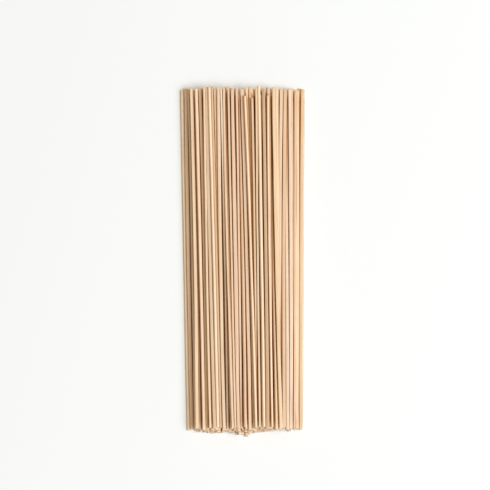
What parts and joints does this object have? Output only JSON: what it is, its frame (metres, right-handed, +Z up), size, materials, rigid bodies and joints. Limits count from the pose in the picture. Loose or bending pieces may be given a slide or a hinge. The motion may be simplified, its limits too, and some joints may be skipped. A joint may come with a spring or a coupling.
{
  "type": "bundle of dried soba noodles",
  "caption": "Loose bundle of dried, straight buckwheat noodles lying side by side and heaped in a low mound with uneven ends, ready to be boiled.",
  "frame": {"origin": "under the middle of the bundle, on the surface it lies on", "axes": "+Y along the noodles, towards their even end; +X across the bundle, to the right when it is seen from above with the even end at the top; +Z up"},
  "size_m": [0.08, 0.2252, 0.0132],
  "materials": {
    "dried_noodle": "matte"
  },
  "bodies": {
    "root": {"noodle_bundle": "dried_noodle"}
  },
  "joints": []
}
